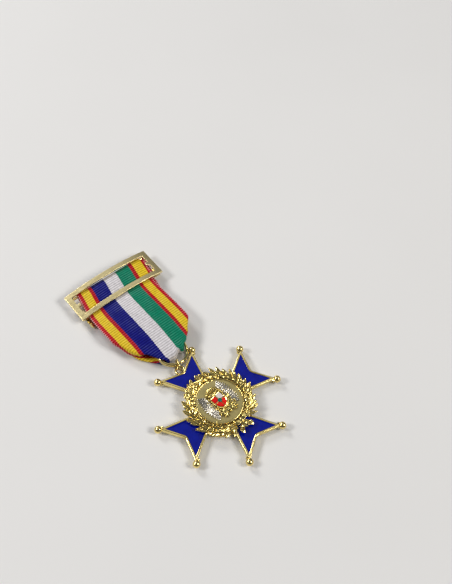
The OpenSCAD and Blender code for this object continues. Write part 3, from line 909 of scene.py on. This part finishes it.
def reverse_plate():
    """The disc behind the arms: a rolled edge round a recessed middle."""
    low, high = limits("reverse_disc")
    radius, thick = (high[0] - low[0]) / 2, high[2] - low[2]
    lip = radius - 1.6
    profile = [(0, REVERSE_FLOOR), (lip - 0.06, REVERSE_FLOOR), (lip, REVERSE_FLOOR - 0.06), (lip, 0.09),
               (lip + 0.03, 0.03), (lip + 0.1, 0), (radius - 0.15, 0), (radius - 0.04, 0.04), (radius, 0.15),
               (radius, thick - 0.12), (radius - 0.03, thick - 0.03), (radius - 0.12, thick), (0, thick)]
    return lathe(profile, 144)


def rivets():
    """Two rivets with low domed heads on the reverse."""
    height = limits("fixing_rivets")[1][2]
    foot = REVERSE_FLOOR + 0.02
    head = [(0, 0.05), (0.4, 0.06), (0.75, 0.1), (0.92, 0.18), (0.95, 0.26), (0.93, foot)]
    pin = lathe(head + [(0.5, foot), (0.5, height), (0, height)], 40)
    return join(*(place(pin, at=(side * RIVET_X, 0, 0)) for side in SIDES))


cross_piece("cross_frame", cross(), gold, "cross_body", 28)
for k, arm_name in enumerate(("top", "left", "bottom", "right")):
    cross_piece(f"enamel_glass_{arm_name}", enamel_field(90 * k), blue_enamel, f"enamel_{arm_name}",
                50, "blue_enamel")
cross_piece("reverse_plate", reverse_plate(), brushed_gold, "reverse_disc", 30)
cross_piece("rivet_heads", rivets(), gold, "fixing_rivets", 40)


# ---- Wreath ----

WREATH_R = 10.525
WREATH_BED = 3.1


def wreath_leaf(rank, angle):
    """One leaf of a branch, with small random changes."""
    lean, out, size, wide, lift, shift = rank
    angle += shift + rng.uniform(-2, 2)
    at = polar(WREATH_R + out, angle, lift + rng.uniform(-0.08, 0.08))
    grown = leaf(size * rng.uniform(0.85, 1.12), wide * rng.uniform(0.85, 1.12), 0.42,
                 curl=rng.uniform(0.0, 0.45), vein=0.6, rows=10, cols=6)
    return place(grown, at=at, turn=angle + lean + rng.uniform(-10, 10),
                 pitch=rng.uniform(0, 6), roll=rng.uniform(-22, 22))


def berry(angle):
    angle += rng.uniform(-4, 6)
    out = rng.uniform(-1.3, 1.4)
    size = rng.uniform(0.22, 0.34)
    return ball(size, 12, at=polar(WREATH_R + out, angle, 4.25 + rng.uniform(-0.2, 0.2)))


def wreath_branch():
    """The right branch: a bed, a stem and overlapping leaves in four ranks with berries between."""
    start, end, steps = -76, 87, 60
    angle = np.radians(np.linspace(start, end, steps))
    arc = np.column_stack([WREATH_R * np.cos(angle), WREATH_R * np.sin(angle), np.full(steps, WREATH_BED)])
    shapes = [sweep(arc, band_section(2.9, 0.8)), sweep(arc + (0, 0, 0.55), circle(0.33, 12))]
    # Each rank's lean in degrees, distance out, length, width, height and degrees along
    ranks = ((-42, 0.8, 3.5, 1.55, 3.3, 0), (36, -0.75, 2.9, 1.4, 3.6, 4), (-14, 0.35, 3.3, 1.5, 3.8, 7),
             (12, -0.3, 3.0, 1.35, 4.1, 10))
    for at in np.linspace(start + 5, end - 9, 16):
        shapes += [wreath_leaf(rank, at) for rank in ranks]
        shapes += [berry(at) for _ in range(2)]
    return join(*shapes)


def bow_half(reach, drop):
    """The bow's right half, drawn from its knot: a folded loop, and a broad tail with a raised point."""
    loop = spline([(0, 0, 4.5), (1.2, 0.1, 4.85), (2.4, 0.3, 4.8), (2.9, 0.35, 4.45), (2.2, 0.2, 4.05),
                   (0, 0, 4.0)], 10)
    tail = spline([(0, 0, 4.1), (0.6, -1.1, 4.0), (reach - 0.9, -2.3, 3.6), (reach - 0.2, 0.8 - drop, 3.95),
                   (reach, -drop, 3.7)], 10)
    wide = np.interp(np.linspace(0, 1, len(tail)), [0, 0.3, 0.7, 1], [0.45, 0.95, 1.1, 0.3])
    shapes = [sweep(loop, band_section(0.24, 1.25), (0, 1, 0)),
              sweep(tail, band_section(1.6, 0.3), scale=wide)]
    for k, turn in enumerate((-150, -205)):
        shapes.append(place(leaf(2.2, 1.0, 0.3), at=(0.7 + 0.5 * k, -0.9 - 0.5 * k, 3.9), turn=turn, roll=12))
    return join(*shapes)


def wreath_bow():
    """A ribbon tied round the wreath's foot."""
    knot = ball(1.0, 20, at=(0, 0, 4.3), scale=(0.9, 0.95, 0.6))
    bow = join(knot, bow_half(2.0, 4.1), mirror_x(bow_half(2.9, 3.9)))
    return place(bow, at=(0, -WREATH_R, 0))


cross_piece("laurel_right", wreath_branch(), cast_gold, "wreath_right")
cross_piece("laurel_left", mirror_x(wreath_branch()), cast_gold, "wreath_left")
cross_piece("laurel_bow", wreath_bow(), cast_gold, "wreath_bow")


# ---- Medallion and emblem ----

FIELD_Z = 4.3
FIELD_R = 8.55
MEDAL_R = 8.9
CROWN_Y = 2.85
CROWN_HALF = 1.95
WING_X = 3.2


def emblem_piece(name, shape, *settings):
    """A piece drawn with the medallion's field at z = 0."""
    return cross_piece(name, place(shape, at=(0, 0, FIELD_Z)), *settings)


def medallion():
    """A stepped disc whose field sinks a little towards its edge."""
    profile = [(0, ARM_HIGH), (MEDAL_R, ARM_HIGH), (MEDAL_R, 4.05), (FIELD_R + 0.1, 4.15),
               (FIELD_R - 0.1, 4.2), (FIELD_R - 0.5, 4.27)]
    profile += [(r, FIELD_Z - 0.03 * (r / 8) ** 2) for r in np.linspace(8, 0.4, 16)]
    return lathe(profile + [(0, FIELD_Z)], 120)


def medallion_rim():
    """A thin raised bead round the field, with a rope of small turns along it."""
    turns, height, thick = 110, 4.25, 0.2
    steps = 4 * turns
    path = np.column_stack([circle((FIELD_R + MEDAL_R) / 2, steps), np.full(steps, height)])
    wave = 1 + 0.05 * np.sin(np.arange(steps) * 2 * math.pi * turns / steps)
    return sweep(path, circle(thick, 10), closed=True, scale=wave)


def heater(inset):
    """A heater shield's outline: a flat top and sides that turn in to a point at the foot."""
    half, top, foot, turn = 2.8 - inset, 2.9 - inset, -3.5 + 1.3 * inset, 0.2
    angles = np.radians(np.linspace(0, 90, 13))
    right = [(half * math.cos(a), turn - (turn - foot) * math.sin(a)) for a in angles]
    return [(half, top)] + right + [(-x, y) for x, y in right[-2::-1]] + [(-half, top)]


def clip_quarter(outline, across, up, bar):
    """The part of an outline in one quarter, held off the middle by the bar's half width."""
    for axis, sign in ((0, across), (1, up)):
        kept = []
        for a, b in pairs(outline):
            room_a, room_b = sign * a[axis] - bar, sign * b[axis] - bar
            if room_a >= 0:
                kept.append(a)
            if room_a * room_b < 0:
                share = room_a / (room_a - room_b)
                kept.append(tuple(a[i] + share * (b[i] - a[i]) for i in (0, 1)))
        outline = kept
    return outline


def shield_body():
    """A raised rim and a raised cross between the quarters."""
    rim_wide, bar_wide, raised, round_edge = 0.62, 0.2, 0.3, 0.14

    def height(x, y, d):
        rim = np.clip(1 - (d / rim_wide) ** 6, 0, 1)
        bar = np.clip(1 - (np.minimum(abs(x), abs(y)) / bar_wide) ** 4, 0, 1)
        return 0.62 + raised * np.maximum(rim, bar) - 0.2 * np.clip(1 - d / round_edge, 0, 1)

    return plate(heater(0), 0, height, 0.22, rims=(0.07, 0.16, 0.3))


def shield():
    """The shield's gold body in leaves and berries, with room for the crown."""
    crown_low, crown_half = 2.4, 2.0
    shapes = [shield_body()]
    for k, (x, y) in enumerate(resample(heater(0.25), 0.8)):
        if y > crown_low and abs(x) < crown_half:
            continue
        away = math.degrees(math.atan2(y + 0.2, x)) - 90
        shapes.append(place(leaf(1.9, 1.05, 0.4), at=(x, y, 0.3), turn=away + (30 if k % 2 else -24),
                            roll=rng.uniform(-15, 15)))
        shapes.append(ball(0.22, 10, at=(x * 1.1, y * 1.1, 0.85)))
    return join(*shapes)


def quarter(across, up):
    """The slightly domed enamel in one quarter. Across and up are the signs of its X and Y."""
    def height(x, y, d):
        return 0.7 + 0.16 * (1 - np.exp(-d / 0.25))

    return plate(clip_quarter(heater(0.66), across, up, 0.14), 0.5, height, 0.25, rims=(0.06, 0.15))


def boss():
    return lathe([(0, 0.5), (0.8, 0.5), (0.8, 0.9), (0.68, 1.02), (0.45, 1.1), (0.2, 1.14), (0, 1.15)], 28)


def coronet_leaf(x):
    """One leaf of the crown with a pearl on its tip and a jewel at its foot."""
    tall = 2.05 - 0.12 * x * x
    grown = leaf(tall - 0.2, 0.78, 0.42, curl=0.15)
    return join(place(grown, at=(x, CROWN_Y + 0.5, 0.4), turn=-7 * x),
                ball(0.32, 14, at=(x * 1.12, CROWN_Y + tall, 0.72)),
                ball(0.17, 10, at=(x, CROWN_Y + 0.42, 1.17 - 0.05 * x * x)))


def coronet():
    """A jewelled band, the hoop that closes the crown over the shield, and five pearled leaves."""
    x = np.linspace(-CROWN_HALF, CROWN_HALF, 21)
    bow = (x / CROWN_HALF) ** 2
    band = np.column_stack([x, CROWN_Y + 0.4 + 0.12 * bow, 0.75 - 0.2 * bow])
    left = [(-CROWN_HALF, 0.7, 0.5), (-CROWN_HALF - 0.15, 1.7, 0.75), (-1.1, 2.55, 1)]
    right = [(-x, up, lift) for x, up, lift in left[::-1]]
    hoop = spline([(x, CROWN_Y + up, lift) for x, up, lift in left + [(0, 2.8, 1.1)] + right], 8)
    leaves = [coronet_leaf(-1.6 + 0.8 * k) for k in range(5)]
    return join(sweep(band, band_section(0.85, 0.9)), sweep(hoop, circle(0.28, 12)), *leaves)


def wing():
    """The right wing: three ranks of feathers that fan out sideways from an upright shoulder."""
    shapes = []
    # Each rank's number of feathers, their length and width, and its height
    for count, size, wide, lift in ((14, 3.7, 0.86, 0.06), (12, 2.5, 0.78, 0.26), (10, 1.3, 0.74, 0.44)):
        for down in np.linspace(0, 1, count):
            bow = 1 - (2 * down - 1) ** 2
            length = size * (0.78 + 0.22 * bow) * rng.uniform(0.95, 1.04)
            feather = leaf(length, wide, 0.2, curl=0.12, vein=0.25, rows=10, cols=6)
            at = (WING_X + 0.2 * bow, 4.3 - 7.7 * down, lift)
            shapes.append(place(feather, at=at, turn=-46 - 80 * down, roll=14))
    shoulder = spline([(WING_X, 4.8, 0.3), (WING_X + 0.2, 2.8, 0.5), (WING_X + 0.2, 0.4, 0.5),
                       (WING_X, -3.6, 0.25)], 8)
    thick = np.interp(np.linspace(0, 1, len(shoulder)), [0, 0.3, 0.8, 1], [0.4, 1, 0.9, 0.4])
    return join(*shapes, sweep(shoulder, circle(0.26, 12), scale=thick))


def scroll():
    half, folds = 3.7, 2.4
    x = np.linspace(-half, half, 41)
    y = -3.95 - 0.85 * np.cos(x / half * math.pi / 2) + 0.12 * np.sin(x * folds)
    z = 0.5 + 0.16 * np.cos(x * folds)
    return sweep(np.column_stack([x, y, z]), band_section(1.05, 0.36))


def spray():
    """The right half's rolled end of the scroll and its leaves."""
    shapes = [ball(0.5, 14, at=(3.8, -3.75, 0.55), scale=(0.8, 1.1, 0.8))]
    for k, (turn, length) in enumerate(((-120, 2.3), (-150, 2.2), (-95, 1.9), (-176, 1.8))):
        shapes.append(place(leaf(length, 0.95, 0.28), at=(1.5, -4.6, 0.22 + 0.06 * k), turn=turn, roll=10))
    return join(*shapes)


def sprays():
    """The scroll, a spray on each side of it and a bud in the middle."""
    bud = ball(0.55, 16, at=(0, -5.3, 0.45), scale=(1, 1, 0.7))
    return join(scroll(), spray(), mirror_x(spray()), bud)


red_quarters = join(quarter(-1, 1), quarter(-1, -1), quarter(1, -1))
cross_piece("medallion_field", medallion(), satin_gold, "medallion", 30, "satin_gilt")
cross_piece("medallion_bead", medallion_rim(), gold, "medallion_rim")
emblem_piece("shield_body", shield(), cast_gold, "shield", 45)
emblem_piece("shield_quarters_red", red_quarters, red_enamel, "shield_red", 50, "red_enamel")
emblem_piece("shield_quarter_white", quarter(1, 1), white_enamel, "shield_white", 50, "white_enamel")
emblem_piece("shield_boss_green", boss(), green_enamel, "shield_boss", 50, "green_enamel")
emblem_piece("coronet_relief", coronet(), cast_gold, "coronet")
emblem_piece("wing_right_relief", wing(), silver, "wing_right", 60, "silvered")
emblem_piece("wing_left_relief", mirror_x(wing()), silver, "wing_left", 60, "silvered")
emblem_piece("sprays_relief", sprays(), cast_gold, "emblem_sprays")


# ---- CAD nodes that keep their shape ----

# Material and width of the rounded edges
KEPT_NODES = {
    "carrier_bar": (gold, 0.08), "pin_plate": (brushed_gold, 0.08), "plate_spacers": (brushed_gold, 0.08),
    "hinge_bracket": (gold, 0.05), "hinge_rivet": (steel, 0.05), "catch_body": (gold, 0.05),
    "needle": (steel, 0), "catch_sleeve": (gold, 0.05),
}

for node, (material, edge) in KEPT_NODES.items():
    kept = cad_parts[node]
    kept.data.materials.clear()
    kept.data.materials.append(material)
    if edge:
        soften(kept, edge, segments=2, angle=50)


# ---- Floor, light and camera: lamps and the floor are placed in metres ----

CAMERA_AT = (-75.39, -91.69, 226.21)
CAMERA_AIM = (34.60, 13.27, 0.0)
CAMERA_ROLL = 7.175
CAMERA_LENS = 41.0
FLOOR_HALF = 2.0


def floor_material():
    paint = Paint("pale_floor", Roughness=0.85)
    cloud = paint.spread(paint.noise(paint.place(), 6, 3), 0.3, 0.8)
    paint.to("Base Color", paint.blend(cloud, (0.80, 0.79, 0.775), (0.77, 0.76, 0.745)))
    return paint.material


def floor():
    corners = [(x * FLOOR_HALF, y * FLOOR_HALF, 0) for x, y in ((-1, -1), (1, -1), (1, 1), (-1, 1))]
    mesh = bpy.data.meshes.new("floor")
    mesh.from_pydata(corners, [], [(0, 1, 2, 3)])
    mesh.materials.append(floor_material())
    link_object("floor", mesh)


def aim(obj, at, target, roll=0):
    obj.location = at
    obj.rotation_mode = "QUATERNION"
    look = (Vector(target) - Vector(at)).to_track_quat("-Z", "Y")
    obj.rotation_quaternion = look @ rotation(roll, "Z").to_quaternion()


def soft_light(name, at, size, watts, colour=(1, 1, 1)):
    data = bpy.data.lights.new(name, "AREA")
    data.shape, data.size, data.energy, data.color = "DISK", size, watts, colour
    aim(link_object(name, data), at, (0, 0, 0))


def camera():
    data = bpy.data.cameras.new("camera")
    data.lens, data.sensor_width = CAMERA_LENS, 36
    data.clip_start, data.clip_end = 0.01, 20
    made = link_object("camera", data)
    aim(made, Vector(CAMERA_AT) * MM, Vector(CAMERA_AIM) * MM, CAMERA_ROLL)
    bpy.context.scene.camera = made


def studio():
    """An even dim surround, seen in the metal between the lamps."""
    world = bpy.data.worlds.new("studio")
    world.use_nodes = True
    background = world.node_tree.nodes["Background"]
    background.inputs["Color"].default_value = (0.62, 0.64, 0.67, 1)
    background.inputs["Strength"].default_value = 0.18
    bpy.context.scene.world = world
    bpy.context.scene.view_settings.view_transform = "Standard"


floor()
soft_light("key", (0.6, -0.8, 0.95), 0.5, 9.5, (1.0, 0.98, 0.95))
soft_light("side", (-0.75, 0.55, 0.75), 0.3, 6.0, (0.99, 0.98, 0.98))
soft_light("back", (-0.05, 1.1, 0.75), 0.4, 6.0)
soft_light("overhead", (0.5, 0.45, 1.1), 0.8, 0.9)
camera()
studio()
